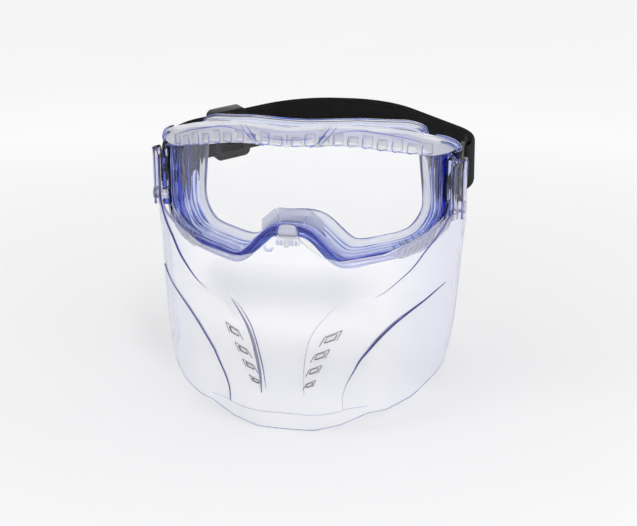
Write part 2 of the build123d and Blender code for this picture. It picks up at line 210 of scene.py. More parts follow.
EDGE = painted_dark_line("edge_violet", (0.09, 0.10, 0.36), (0.20, 0.22, 0.58))
PAINTED_SLOT_SHADOW = painted_dark_line("slot_shadow", (0.006, 0.006, 0.02), (0.02, 0.02, 0.05))
BLUE_EDGE = painted_dark_line("blue_fold", (0.025, 0.06, 0.36), (0.09, 0.17, 0.60))


def multiplied(tree, first, second):
    """Two colours multiplied. Inputs 6 and 7 and output 2 are the mix node's colours."""
    mix = tree.nodes.new("ShaderNodeMix")
    mix.data_type, mix.blend_type = "RGBA", "MULTIPLY"
    mix.inputs["Factor"].default_value = 1.0
    tree.links.new(first, mix.inputs[6])
    tree.links.new(second, mix.inputs[7])
    return mix.outputs[2]


def paint_guard_shade(material):
    """Painted shade on the guard: a greyer band under the goggle across its middle, painted by height, and
    a deeper lavender towards the outer cheeks, painted by width.
    """
    tree = material.node_tree
    shader = tree.nodes["Principled BSDF"]
    before = shader.inputs["Base Color"].links[0].from_socket
    where = tree.nodes.new("ShaderNodeTexCoord")
    parts = tree.nodes.new("ShaderNodeSeparateXYZ")
    tree.links.new(where.outputs["Object"], parts.inputs[0])
    across = tree.nodes.new("ShaderNodeMath")
    across.operation = "ABSOLUTE"
    tree.links.new(parts.outputs["X"], across.inputs[0])
    height = tree.nodes.new("ShaderNodeMapRange")
    height.inputs["From Min"].default_value = -0.060
    height.inputs["From Max"].default_value = -0.024
    tree.links.new(parts.outputs["Z"], height.inputs["Value"])
    band = tree.nodes.new("ShaderNodeValToRGB")
    stops = band.color_ramp
    stops.interpolation = "B_SPLINE"
    stops.elements[0].position, stops.elements[0].color = 0.25, (1, 1, 1, 1)
    stops.elements[1].position, stops.elements[1].color = 0.95, (1, 1, 1, 1)
    stops.elements.new(0.62).color = (0.74, 0.74, 0.79, 1)
    tree.links.new(height.outputs["Result"], band.inputs["Fac"])
    # painted shade: darker under the goggle and towards the outer cheeks
    painted_cheek_shade = ramp(tree, across.outputs[0], (1, 1, 1), (0.88, 0.88, 0.96), (0.050, 0.084))
    fade = ramp(tree, across.outputs[0], (1, 1, 1), (0, 0, 0), (0.030, 0.055))
    painted_hollow_shade = multiplied(tree, before, band.outputs["Color"])
    tree.links.new(fade, painted_hollow_shade.node.inputs["Factor"])
    tree.links.new(multiplied(tree, painted_hollow_shade, painted_cheek_shade), shader.inputs["Base Color"])


paint_guard_shade(GUARD)
BLACK = moulded_black("black_nylon")
WEB = webbing_black("black_elastic")


# light passes through the clear mouldings, so they throw no dark shadow
SEE_THROUGH = {"clear_trim", "soft_seal", "lens_clear", "guard_clear", "ear_clear", "edge_violet"}


# ---------- mesh helpers ----------
def add_mesh(name, points, faces, material, body, replaces=(), levels=0, sharp=32, uv=None):
    """Piece made of points in mm. It rides on a body and may stand for CAD nodes."""
    mesh = bpy.data.meshes.new(name)
    mesh.from_pydata([tuple(float(c) * MM for c in p) for p in points], [], faces)
    mesh.validate()
    mesh.polygons.foreach_set("use_smooth", [True] * len(mesh.polygons))
    if uv is not None:
        layer = mesh.uv_layers.new(name="UVMap")
        for loop in mesh.loops:
            layer.data[loop.index].uv = uv[loop.vertex_index]
    mesh.materials.append(material)
    mesh.update()
    piece = bpy.data.objects.new(name, mesh)
    bpy.context.collection.objects.link(piece)
    outward(piece)
    if levels:
        modifier = piece.modifiers.new("smooth", "SUBSURF")
        modifier.levels = levels
        modifier.render_levels = levels
    elif sharp:
        mesh.set_sharp_from_angle(angle=math.radians(sharp))
    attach(piece, body)
    if replaces:
        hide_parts(*replaces)
    if material.name in SEE_THROUGH:
        piece.visible_shadow = False
    return piece


def softened_copy(name, node, material, body, width):
    """A CAD node's shape with its moulded edges rounded, standing in for the node."""
    work = bmesh.new()
    work.from_mesh(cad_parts[node].data)
    bmesh.ops.remove_doubles(work, verts=work.verts, dist=1e-6)
    bmesh.ops.dissolve_limit(work, angle_limit=math.radians(2), verts=work.verts, edges=work.edges)
    mesh = bpy.data.meshes.new(name)
    work.to_mesh(mesh)
    work.free()
    mesh.polygons.foreach_set("use_smooth", [True] * len(mesh.polygons))
    mesh.materials.clear()
    mesh.materials.append(material)
    piece = bpy.data.objects.new(name, mesh)
    bpy.context.collection.objects.link(piece)
    modifier = piece.modifiers.new("rounded", "BEVEL")
    modifier.width, modifier.segments = width * MM, 3
    modifier.limit_method, modifier.angle_limit = "ANGLE", math.radians(35)
    modifier.harden_normals = True
    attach(piece, body)
    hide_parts(node)
    return piece


def outward(piece):
    """Turns every face's normal outwards."""
    work = bmesh.new()
    work.from_mesh(piece.data)
    bmesh.ops.recalc_face_normals(work, faces=work.faces)
    work.to_mesh(piece.data)
    work.free()


def strip_faces(rows, columns, close_rows=False, close_columns=False):
    """Quads of a grid stored row by row."""
    faces = []
    for i in range(rows if close_rows else rows - 1):
        for j in range(columns if close_columns else columns - 1):
            a = i * columns + j
            b = i * columns + (j + 1) % columns
            c = ((i + 1) % rows) * columns + (j + 1) % columns
            d = ((i + 1) % rows) * columns + j
            faces.append((a, b, c, d))
    return faces


def tube_faces(rows, ring):
    """Quads of a tube stored ring by ring, with both ends closed."""
    faces = strip_faces(rows, ring, False, True)
    return faces + [tuple(range(ring)), tuple(range((rows - 1) * ring, rows * ring))]


def unit(rows):
    return rows / np.linalg.norm(rows, axis=1)[:, None]


def distances(path):
    """How far along the path each of its points is."""
    return np.concatenate([[0], np.cumsum(np.linalg.norm(np.diff(path, axis=0), axis=1))])


def smooth_curve(xs, ys):
    """Cubic through the given points, used for outlines and creases."""
    xs, ys = np.array(xs, float), np.array(ys, float)
    slope = np.gradient(ys, xs)

    def value(x):
        x = np.clip(np.asarray(x, float), xs[0], xs[-1])
        i = np.clip(np.searchsorted(xs, x) - 1, 0, len(xs) - 2)
        h = xs[i + 1] - xs[i]
        t = (x - xs[i]) / h
        a = (1 + 2 * t) * (1 - t) ** 2 * ys[i] + t * (1 - t) ** 2 * h * slope[i]
        b = t * t * (3 - 2 * t) * ys[i + 1] + t * t * (t - 1) * h * slope[i + 1]
        return a + b

    return value


def step(low, high, x):
    """Smooth step from 0 at low to 1 at high."""
    t = np.clip((np.asarray(x, float) - low) / (high - low), 0, 1)
    return t * t * (3 - 2 * t)


def corner_arc(before, corner, after, radius, count):
    """Points of the arc that rounds one corner of an outline."""
    p0, p1, p2 = (np.array(p, float) for p in (before, corner, after))
    a = (p0 - p1) / np.linalg.norm(p0 - p1)
    b = (p2 - p1) / np.linalg.norm(p2 - p1)
    half = math.acos(max(-1, min(1, float(a @ b)))) / 2
    reach = radius / math.tan(half)
    bisector = (a + b) / np.linalg.norm(a + b)
    centre = p1 + bisector * radius / math.sin(half)
    start, end = p1 + a * reach - centre, p1 + b * reach - centre
    turn = math.atan2(start[0] * end[1] - start[1] * end[0], float(start @ end))
    arc = []
    for k in range(count):
        angle = turn * k / (count - 1)
        c, s = math.cos(angle), math.sin(angle)
        arc.append(centre + np.array([c * start[0] - s * start[1], s * start[0] + c * start[1]]))
    return arc


def spread(points, spacing):
    """The runs between arcs filled with evenly spaced points."""
    filled = []
    for i, p in enumerate(points):
        q = points[(i + 1) % len(points)]
        gap = np.linalg.norm(q - p)
        pieces = max(1, int(round(gap / spacing)))
        filled += [p + (q - p) * k / pieces for k in range(pieces)]
    return filled


def mirrored(points):
    """The right half of an outline, followed back along its left half."""
    return points + [(-x, z) for x, z in reversed(points) if x > 0]


def loop_of(points, radii, spacing, like=None):
    """Rounded closed outline. Loops made with the same like share their point count."""
    full = mirrored(points)
    rounds = radii + [r for (x, _), r in reversed(list(zip(points, radii))) if x > 0]
    arcs = []
    count = len(full)
    for i in range(count):
        arcs.append(corner_arc(full[i - 1], full[i], full[(i + 1) % count], rounds[i], 7))
    out = []
    counts = []
    for i, arc in enumerate(arcs):
        out += arc[:-1]
        nxt = arcs[(i + 1) % count][0]
        gap = np.linalg.norm(nxt - arc[-1])
        n = like[i] if like else max(1, int(round(gap / spacing)))
        counts.append(n)
        out += [arc[-1] + (nxt - arc[-1]) * k / n for k in range(n)]
    return np.array(out), counts


def inset_loop(loop, amount):
    """Closed outline moved inwards."""
    ahead, behind = np.roll(loop, -1, 0), np.roll(loop, 1, 0)
    along = unit(ahead - behind)
    normal = np.stack([along[:, 1], -along[:, 0]], 1)
    area = np.sum(loop[:, 0] * ahead[:, 1] - ahead[:, 0] * loop[:, 1])
    inward = normal if area < 0 else -normal
    return loop + inward * amount


def soften(loop, passes):
    """Smooths the lower outline, so its corners flow into each other."""
    top, fade = 24.0, 14.0
    weight = np.clip((top - loop[:, 1]) / fade, 0, 1)[:, None] * 0.5
    for _ in range(passes):
        loop = loop + weight * ((np.roll(loop, 1, 0) + np.roll(loop, -1, 0)) / 2 - loop)
    return loop


def front_y(x, depth=0.0):
    """Place of the frame's wrapped front face, or of a surface that deep behind it."""
    radius = FRONT_RADIUS - depth
    return front_axis_y - np.sqrt(np.maximum(radius ** 2 - np.asarray(x, float) ** 2, 1.0))


def face_y(x, ahead=0.0):
    """Place of the surface that meets the face, or of one that far ahead of it."""
    radius = FACE_RADIUS + ahead
    return FACE_RADIUS - np.sqrt(radius ** 2 - np.asarray(x, float) ** 2)


RIM_POINTS = [
    (0, rim_top - 0.2), (34, rim_top + 1.3), (62, rim_top - 2.7), (half_width, rim_top - 13.7),
    (half_width, -8), (half_width - 10, rim_bottom + 5.5), (41, rim_bottom + 0.8),
    (26, rim_bottom - 2.6), (9, nose_top + 0.8),
]
RIM_RADII = [60, 60, 40, 8, 14, 12, 30, 8, 7]
SEAL_POINTS = [
    (0, seal_top - 1.2), (30, seal_top - 0.2), (56, seal_top - 1.7), (seal_half - 5, seal_top - 5.2),
    (seal_half, -6), (seal_half - 9, seal_bottom + 4.5), (41, seal_bottom + 0.6),
    (26, seal_bottom - 2.4), (9, seal_bottom + 16),
]
SEAL_RADII = [60, 60, 25, 8, 14, 12, 30, 8, 7]
rim_loop, runs = loop_of(RIM_POINTS, RIM_RADII, 2.2)
seal_loop, _ = loop_of(SEAL_POINTS, SEAL_RADII, 2.2, runs)
rim_loop, seal_loop = soften(rim_loop, 22), soften(seal_loop, 22)


def frame_ring(profile):
    """Closed ring swept round the frame. Each profile point is (share of the way from
    the front face to the seal, inset from the outline, extra depth)."""
    points = []
    for share, inset, depth in profile:
        front = inset_loop(rim_loop, inset)
        rear = inset_loop(seal_loop, inset)
        y = front_y(front[:, 0], depth) * (1 - share) + face_y(rear[:, 0], SEAL_THICKNESS) * share
        flat = front * (1 - share) + rear * share
        points += [(p[0], q, p[1]) for p, q in zip(flat, y)]
    faces = strip_faces(len(profile), len(rim_loop), True, True)
    return points, faces


def sampled(points, count):
    """Smooth line through given points."""
    points = np.array(points, float)
    along = distances(points)
    t = np.linspace(0, along[-1], count)
    return np.stack([smooth_curve(along, points[:, k])(t) for k in range(points.shape[1])], 1)


def cord_tube(name, centres, normals, widths, heights, material, body, ring=8):
    """Bead with an oval section along its centres; normals point off the surface it lies on."""
    centres, normals = np.array(centres), np.array(normals)
    side = unit(np.cross(normals, unit(np.gradient(centres, axis=0))))
    points = []
    for c, n, s, w, h in zip(centres, normals, side, widths, heights):
        for k in range(ring):
            angle = 2 * math.pi * k / ring
            points.append(c + s * (w * math.cos(angle)) + n * (h * math.sin(angle)))
    return add_mesh(name, points, tube_faces(len(centres), ring), material, body, sharp=60)


def double_skin(outer, inner, rows, columns):
    """Closed sheet from two grids of the same size."""
    per = rows * columns
    faces = strip_faces(rows, columns)
    faces += [tuple(per + v for v in f) for f in faces]
    for row in (0, (rows - 1) * columns):
        faces += [(row + j, row + j + 1, per + row + j + 1, per + row + j) for j in range(columns - 1)]
    for side in (0, columns - 1):
        faces += [(side + columns * j, side + columns * (j + 1),
                   per + side + columns * (j + 1), per + side + columns * j) for j in range(rows - 1)]
    return list(outer) + list(inner), faces


def frame_line(name, share, inset, width, material, keep, wave, ahead=0.0):
    """Painted dark bead along the frame, standing for the refraction streaks at its folds and steps; its
    width swells and thins along the way. Share runs from the front face (0) to the seal (1).
    """
    front, rear = inset_loop(rim_loop, inset), inset_loop(seal_loop, inset)
    flat = front * (1 - share) + rear * share
    y = front_y(front[:, 0]) * (1 - share) + face_y(rear[:, 0], SEAL_THICKNESS) * share - ahead
    count = len(flat)
    use = [bool(keep(x, z)) for x, z in flat]
    first = next((k for k in range(count) if use[k] and not use[k - 1]), 0)
    runs_of, current = [], []
    for k in range(count + 1):
        i = (first + k) % count
        if k < count and use[i]:
            current.append(i)
        elif current:
            runs_of.append(current)
            current = []
    for n, members in enumerate(runs_of):
        if len(members) < 4:
            continue
        if len(members) == count:
            members = members + [members[0]]
        centres = np.array([(flat[i, 0], y[i], flat[i, 1]) for i in members])
        normals = unit(np.array([(-flat[i, 0], -20.0, 10 - flat[i, 1]) for i in members]))
        t = np.arange(len(members))
        swell = 1 + wave * np.sin(t * 0.37 + inset) * np.sin(t * 0.13 + 5 * share)
        ends = np.clip(np.minimum(t, len(members) - 1 - t) / 5.0, 0.12, 1)
        if len(members) > count:
            ends = 1.0
        widths = width * swell * ends
        cord_tube(f"{name}_{n}", centres, normals, widths, widths, material, "goggle")


def front_line(name, line, width, material, height, slot="clear_trim", mirror=True):
    """Tapered bead on the frame's wrapped front face along given (x, z) points."""
    for tag, side in SIDES if mirror else (("mid", 1),):
        path = sampled(line, 12 * len(line))
        centres, normals = [], []
        for x, z in path:
            y = float(front_y(x, -height))
            centres.append((side * x, y, z))
            normals.append((side * x, y - front_axis_y, 0))
        normals = unit(np.array(normals))
        t = np.linspace(0, 1, len(path))
        widths = width * (0.3 + 0.7 * np.sin(math.pi * t) ** 0.5)
        cord_tube(f"{name}_{tag}", centres, normals, widths, widths, material, "goggle")


def front_pad(name, ring, layers, material, replaces=()):
    """Small moulded pad standing off the frame's front face."""
    points = []
    ring = np.array(spread([np.array(p, float) for p in ring], 1.0))
    for amount, height in layers:
        loop = inset_loop(ring, amount)
        points += [(x, float(front_y(x, -height)), z) for x, z in loop]
    return add_mesh(name, points, tube_faces(len(layers), len(ring)), material, "goggle",
                    replaces, sharp=50)


def rounded(corners, radius):
    """Closed outline with every corner rounded."""
    out = []
    for i, corner in enumerate(corners):
        out += corner_arc(corners[i - 1], corner, corners[(i + 1) % len(corners)], radius, 5)
    return out


# ---------- goggle ----------
BODY_PROFILE = [
    (0.0, 0.7, 0), (0.02, 0.1, 0), (0.10, 0.0, 0), (0.12, 0.9, 0), (0.20, 0.9, 0),
    (0.22, 2.0, 0), (0.50, 2.2, 0), (0.53, 1.6, 0), (0.60, 1.6, 0), (0.63, 2.1, 0),
    (0.97, 0.8, 0), (0.97, 3.2, 0), (0.63, 4.7, 0), (0.60, 5.3, 0), (0.40, 5.3, 0),
    (0.37, 6.0, 0), (0.14, 6.2, 0), (0.10, 5.4, 0), (0.03, 5.9, 0), (0.0, 5.3, 0),
    (0.0, 3.3, 0), (0.028, 3.0, 0), (0.028, 2.3, 0), (0.0, 2.0, 0),
]
points, faces = frame_ring(BODY_PROFILE)
add_mesh("goggle_body", points, faces, PVC, "goggle",
         ("frame_rim", "frame_walls"), levels=1)


def make_lens():
    """Two skins of rings that shrink towards the lens's middle."""
    outer = inset_loop(rim_loop, 3.0)
    middle = np.array([0.0, rim_top - 28])
    shares = [1.0, 0.9, 0.75, 0.6, 0.45, 0.3, 0.15]
    count = len(outer)
    points, faces = [], []
    for depth in (LENS_DEPTH, LENS_DEPTH + LENS_THICKNESS):
        base = len(points)
        for share in shares:
            ring = middle + (outer - middle) * share
            points += list(zip(ring[:, 0], front_y(ring[:, 0], depth), ring[:, 1]))
        points.append((middle[0], float(front_y(0, depth)), middle[1]))
        faces += [tuple(base + v for v in f) for f in strip_faces(len(shares), count, False, True)]
        last = base + (len(shares) - 1) * count
        tip = base + len(shares) * count
        faces += [(last + j, last + (j + 1) % count, tip) for j in range(count)]
    back = len(shares) * count + 1
    faces += [(j, (j + 1) % count, back + (j + 1) % count, back + j) for j in range(count)]
    add_mesh("lens_clear", points, faces, LENS, "goggle", ("lens",))


make_lens()

SEAL_PROFILE = [
    (0.2, 0.4), (0.0, 1.2), (0.0, 2.6), (0.6, 3.3), (1.4, 3.3), (2.0, 2.6), (3.8, 2.4),
    (4.4, 3.2), (5.2, 3.3), (5.9, 2.5), (6.1, 1.2), (5.6, 0.3), (3.6, 0.1), (1.2, 0.1),
]
points = []
for inset, ahead in SEAL_PROFILE:
    ring = inset_loop(seal_loop, inset)
    points += list(zip(ring[:, 0], face_y(ring[:, 0], ahead), ring[:, 1]))
add_mesh("soft_face_flange", points, strip_faces(len(SEAL_PROFILE), len(seal_loop), True, True),
         SEAL, "goggle", ("face_seal",), levels=1)


def low_part(x, z):
    return z < 24


def side_part(x, z):
    return abs(x) > 56


# painted shade: deep blue and violet beads for the dark refraction along the frame's folds, steps and seal
# edges
frame_line("fold_front_edge", 0.0, 0.6, 0.42, BLUE_EDGE, low_part, 0.5, ahead=0.1)
frame_line("fold_lens_edge", 0.0, 5.4, 0.28, EDGE, low_part, 0.5, ahead=0.1)
frame_line("fold_step_one", 0.13, 0.4, 0.5, COBALT, low_part, 0.6)
frame_line("fold_step_two", 0.21, 1.6, 0.6, COBALT, low_part, 0.7)
frame_line("fold_inner_one", 0.39, 5.6, 0.34, BLUE_EDGE, low_part, 0.8)
frame_line("fold_inner_two", 0.61, 5.0, 0.42, BLUE_EDGE, low_part, 0.6)
frame_line("fold_side_one", 0.28, 3.2, 1.5, COBALT, side_part, 0.6)
frame_line("fold_side_two", 0.52, 3.0, 1.2, COBALT, side_part, 0.7)
frame_line("fold_side_three", 0.78, 2.2, 0.8, COBALT, side_part, 0.8)
frame_line("seal_outer_bead", 1.0, 0.2, 0.34, BLUE_EDGE, lambda x, z: z > 30 or abs(x) > 50, 0.5)
frame_line("seal_inner_bead", 1.0, 5.9, 0.30, EDGE, lambda x, z: z < 34, 0.4)

cover_top = smooth_curve([0, 21, 34, 60, 80, 84.5], [46.2, 48, 47.5, 43.5, 36, 32.5])
cover_bottom = smooth_curve([0, 30, 56, 78, 84.5], [36, 36.6, 32.5, 29.5, 31.4])
COVER_END = 84.5
PORT_PITCH, PORT_WIDTH = 7.2, 5.0
FIRST_PORT = 0.7    # in pitches from the middle


def cover_height(x, z, share):
    """Height of the moulded brow cover over the frame's front face."""
    a = np.abs(x)
    line = np.interp(z, [36, 39, 43.5, 47, 49], [13.5, 15.5, 18.5, 21.5, 23.5])
    centre = 1 - step(-0.7, 0.7, a - line)
    height = 2.5 - 1.3 * centre * (1 - step(0.80, 0.95, share))
    height += 0.9 * np.exp(-((a - line) / 0.9) ** 2)
    height += 0.5 * step(0.86, 0.97, share) - 0.9 * step(0.985, 1.0, share)
    k = np.round(a / PORT_PITCH - FIRST_PORT)
    offset = np.abs(a - PORT_PITCH * (k + FIRST_PORT))
    in_port = (1 - step(PORT_WIDTH / 2 - 0.5, PORT_WIDTH / 2, offset)) * (k < PORTS)
    tall_port = np.where(np.mod(k, 2) == 0, 0.50, 0.62)
    in_port = in_port * (1 - step(tall_port - 0.05, tall_port + 0.03, share)) * step(0.10, 0.18, share)
    height -= 1.5 * in_port
    window = (1 - step(-0.05, 0.05, np.abs(share - 0.72) - 0.10)) * step(40, 42, a) * (1 - step(74, 76, a))
    height -= 0.7 * window
    height *= step(0, 0.05, share) * 0.75 + 0.25
    return np.maximum(height, 0.25)


def make_cover():
    """Brow cover: a grid over the frame's top edge, raised and cut by cover_height."""
    columns, rows = 321, 44
    xs = np.linspace(-84.4, 84.4, columns)
    points = []
    for j in range(rows):
        share = np.full(columns, j / (rows - 1))
        z = cover_bottom(np.abs(xs)) * (1 - share) + cover_top(np.abs(xs)) * share
        height = cover_height(xs, z, share)
        ends = step(0, 3, COVER_END - np.abs(xs))
        points += list(zip(xs, front_y(xs) - height * (0.2 + 0.8 * ends), z))
    back = []
    for j in range(rows):
        share = j / (rows - 1)
        z = cover_bottom(np.abs(xs)) * (1 - share) + cover_top(np.abs(xs)) * share
        back += list(zip(xs, front_y(xs) - 0.05, z))
    points, faces = double_skin(points, back, rows, columns)
    add_mesh("brow_cover_moulded", points, faces, TRIM, "goggle", ("brow_cover",))


make_cover()
# painted shade: the blue and violet lines of the brow cover below stand for the dark refraction at its
# swoop, seams, corners and port edges
# name, points, width, material, height off the face, slot and, for a single line, False
BROW_LINES = (
    ("brow_swoop", [(23, 47.6), (20.5, 44.5), (18, 41), (15.5, 38), (12, 36.3)],
     0.42, BLUE_EDGE, 2.4, "clear_trim"),
    ("brow_swoop_twin", [(26, 47.3), (23.5, 43.8), (20, 40), (17.5, 37.4)],
     0.22, EDGE, 2.5, "clear_trim"),
    ("brow_seam", [(26, 44), (36, 45), (48, 43), (60, 40), (68, 37)],
     0.24, EDGE, 2.6, "clear_trim"),
    ("brow_seam_low", [(14, 36.4), (24, 37.6), (34, 37.3), (48, 34.6), (62, 31.8), (74, 30.6)],
     0.24, EDGE, 1.6, "clear_trim"),
    ("brow_mid_seam", [(-13, 41), (-6, 40), (0, 39.7), (6, 40), (13, 41)],
     0.2, EDGE, 1.4, "clear_trim", False),
    ("corner_curl", [(73, 40.5), (79, 38), (84, 34), (85.2, 31), (82, 29.5)],
     0.8, COBALT, 1.2, "tinted_pvc"),
    ("corner_curl_twin", [(76, 36.5), (80, 35), (83, 32.5), (84, 30)],
     0.7, COBALT, 2.2, "tinted_pvc"),
    ("corner_hook", [(71, 28.8), (75, 27.5), (79, 28.4), (82, 27), (82.6, 23)],
     0.65, COBALT, 0.8, "tinted_pvc"),
)
for line in BROW_LINES:
    front_line(*line)
for port in range(PORTS):
    x = PORT_PITCH * (port + FIRST_PORT)
    base = float(cover_bottom(x))
    rise = 5.2 if port % 2 == 0 else 6.4
    front_line(f"port_edge_{port}", [(x - 2.4, base + rise), (x - 2.5, base + 1.6), (x - 2.2, base + 1.0),
                                     (x + 2.2, base + 1.1)], 0.2, BLUE_EDGE, 2.3)

# ribbed air vents on the two lower front corners; the dark beads in the gaps between the ribs are painted
# shade
for k in range(9):
    x, z = 57.5 + 2.6 * k, rim_bottom + 5.0 + 0.155 * k * k
    front_line(f"vent_rib_{k}", [(x, z), (x + 1.2, z + 4.0), (x + 2.8, z + 7.6)],
               0.7, TRIM, 0.7, "tinted_pvc")
    front_line(f"vent_gap_{k}", [(x + 1.3, z + 0.6), (x + 2.4, z + 4.2), (x + 3.9, z + 7.4)],
               0.34, BLUE_EDGE, 0.9, "tinted_pvc")
for name, line, width in (("vent_lip", [(55, 4.2), (63, 5.4), (71, 9), (78, 15)], 0.5),
                          ("vent_cap", [(57, 12), (65, 13.5), (73, 18), (80, 25)], 0.45)):
    front_line(name, [(x, rim_bottom + rise) for x, rise in line], width, TRIM, 1.0, "tinted_pvc")

# nose clip: a domed button over a short ribbed foot; the foot's dark ribs and the button's blue rim are
# painted dark lines for refraction
dome = rounded([(-6.4, nose_top - 0.5), (-4.6, nose_top + 7.2),
                (4.6, nose_top + 7.2), (6.4, nose_top - 0.5)], 2.6)
front_pad("nose_button", dome, [(0, -0.4), (0, 1.6), (0.7, 2.7), (1.9, 3.4)], TRIM,
          ("nose_clip",))
foot = rounded([(-6.8, nose_top - 4.4), (-6.2, nose_top - 0.8),
                (6.2, nose_top - 0.8), (6.8, nose_top - 4.4)], 0.9)
front_pad("nose_foot", foot, [(0, -0.4), (0, 2.6), (0.5, 3.2)], TRIM)
for k in range(6):
    x = -5 + 2 * k
    tooth = rounded([(x - 0.5, nose_top - 4.0), (x - 0.5, nose_top - 1.4), (x + 0.5, nose_top - 1.4),
                     (x + 0.5, nose_top - 4.0)], 0.3)
    front_pad(f"nose_foot_rib_{k}", tooth, [(0, 2.8), (0, 3.5), (0.2, 3.8)], EDGE)
front_line("nose_button_rim", [(6.3, nose_top - 0.3), (5.6, nose_top + 3.5), (4.4, nose_top + 6.6),
                               (1.5, nose_top + 7.4), (0, nose_top + 7.5)], 0.38, BLUE_EDGE, 2.0)
front_line("nose_hook", [(-8, nose_top - 6.5), (-10, nose_top - 8), (-12.5, nose_top - 7.6),
                         (-13, nose_top - 5.5)], 0.85, COBALT, 1.2, "tinted_pvc", mirror=False)


# ---------- lower guard ----------
LEVELS = [-122, -98, -80, -60, -42, -26, -12, 4]
guard_front = smooth_curve(LEVELS, [-47.5, -50.5, -52.0, -52.5, -50.0, -46.5, -44.5, -44.5])
guard_half = smooth_curve(LEVELS, [72.7, 78.7, 82.5, 85.0, 86.3, 87.3, 88.7, 88.7])
guard_rear = smooth_curve(LEVELS, [-4, 2, 6, 9, 10, 10, 10, 10])
muzzle = smooth_curve(LEVELS, [1.5, 3.0, 4.6, 6.0, 3.0, 0.3, 0, 0])
WALL = 1.5


def guard_skin(x, z, out=0.0):
    """Place of the guard's outer skin, or of one that far outside it."""
    x, z = np.asarray(x, float), np.asarray(z, float)
    half = guard_half(z) + out
    rear = guard_rear(z)
    deep = rear - guard_front(z) + out
    round_off = np.sqrt(np.maximum(1 - (x / half) ** 2, 0))
    return rear - deep * round_off - muzzle(z) * np.exp(-((x / 34) ** 4))


def guard_point(x, z, out=0.0):
    return np.array([float(x), float(guard_skin(x, z, out)), float(z)])


TOP_EDGE = [(0, -11), (6, -11), (11, -15.5), (19, -21), (28, -23.5), (52, -20),
            (63, -15), (76, -8), (84, -2.5), (88.7, -1.5)]
BOTTOM_EDGE = [(0, -118), (16, -118), (30, -114.5), (44, -108.5), (53, -107.5), (66, -102),
               (78, -92), (93.7, -76)]


def edge_by_share(edge):
    """Height of the guard's edge by the share of its half width."""
    shares = [x / float(guard_half(z)) for x, z in edge]
    return lambda s: np.interp(s, shares, [z for _, z in edge])


top_of = edge_by_share(TOP_EDGE)
bottom_of = edge_by_share(BOTTOM_EDGE)
UPPER_CREASE = [(84, 1), (77, -12), (71, -20), (65.3, -28), (59, -34), (52.5, -39.3),
                (44.8, -43.3), (36, -45.2), (27, -44.8)]
LOWER_CREASE = [(81, -39.8), (77, -42.5), (71.8, -46.4), (65, -51), (57.5, -56.6),
                (50.4, -63.5), (44, -71.3), (40.5, -76), (37.2, -82.5), (33.5, -90),
                (31.6, -97), (31.7, -105)]
INNER_CREASE = [(29, -45), (23.3, -50.9), (18.6, -56.8), (15.2, -64.4), (13.4, -73.3),
                (12, -84), (11.8, -96)]
SECOND_CREASE = [(26.4, -45.8), (20.3, -51.4), (15.8, -57.5), (13.4, -63.7), (11.5, -72.2),
                 (10.1, -80.8), (9.2, -93)]


def make_guard():
    columns, rows = 181, 110
    angles = np.radians(np.linspace(-90, 90, columns))
    shares = np.sin(angles)
    skins = []
    for out in (0.0, -WALL):
        skin = []
        for j in range(rows):
            t = j / (rows - 1)
            z = top_of(np.abs(shares)) * (1 - t) + bottom_of(np.abs(shares)) * t
            half = guard_half(z) + out
            x = half * shares
            # shallow moulded relief: a raised muzzle between the inner creases
            lower = np.interp(z, [-105, -97, -90, -82.5, -76, -71.3,
                                  -63.5, -56.6, -51, -46.4, -42.5, -39.8],
                              [31.7, 31.6, 33.5, 37.2, 40.5, 44, 50.4, 57.5, 65, 71.8, 77, 81])
            inner = np.interp(z, [-96, -84, -73.3, -64.4, -56.8, -50.9, -45],
                              [11, 11.2, 12.6, 14.5, 17.4, 22, 28])
            cheek = 0.9 * (1 - step(-1.2, 1.2, np.abs(x) - lower))
            channel = 0.8 * (1 - step(-1.2, 1.2, np.abs(x) - inner))
            raised = (cheek - channel) * step(-118, -104, z) * (1 - step(-46, -40, z))
            y = guard_skin(x, z, out) - raised
            skin.append(np.stack([x, y, z], 1))
        skins.append(np.concatenate(skin))
    points, faces = double_skin(skins[0], skins[1], rows, columns)
    return add_mesh("guard_shell_moulded", points, faces, GUARD, "guard",
                    ("guard_shell",), sharp=40)


guard = make_guard()
SLOT_FRAMES = [[(20.8, -65.9), (23.4, -61.0), (32.0, -58.0), (29.3, -63.2)],
               [(15.9, -75.4), (18.6, -70.6), (26.0, -67.9), (23.5, -72.9)],
               [(13.2, -84.0), (15.4, -79.6), (21.9, -77.0), (19.8, -81.4)],
               [(11.4, -92.2), (13.2, -88.4), (18.4, -85.8), (16.6, -89.8)]]


def shrunk(ring, share):
    middle = np.mean(np.array(ring), axis=0)
    return [tuple(middle + (np.array(p) - middle) * share) for p in ring]


SLOTS = [shrunk(ring, 0.62) for ring in SLOT_FRAMES]
SLOT_CORNER = 0.35


def cut_slots(piece):
    """Cuts the eight vent slots through the guard."""
    points, faces = [], []
    for mirror in (1, -1):
        for slot in SLOTS:
            ring = rounded(slot, SLOT_CORNER)
            base, n = len(points), len(ring)
            for y in (-80, -30):
                points += [(x * mirror * MM, y * MM, z * MM) for x, z in ring]
            faces += [(base + k, base + (k + 1) % n, base + n + (k + 1) % n, base + n + k)
                      for k in range(n)]
            faces += [tuple(range(base, base + n)), tuple(range(base + n, base + 2 * n))]
    mesh = bpy.data.meshes.new("slot_cutter")
    mesh.from_pydata(points, [], faces)
    cutter = bpy.data.objects.new("slot_cutter", mesh)
    bpy.context.collection.objects.link(cutter)
    outward(cutter)
    modifier = piece.modifiers.new("slots", "BOOLEAN")
    modifier.operation, modifier.solver, modifier.object = "DIFFERENCE", "EXACT", cutter
    evaluated = piece.evaluated_get(bpy.context.evaluated_depsgraph_get())
    cut = bpy.data.meshes.new_from_object(evaluated)
    piece.modifiers.clear()
    piece.data = cut
    bpy.data.objects.remove(cutter)


cut_slots(guard)


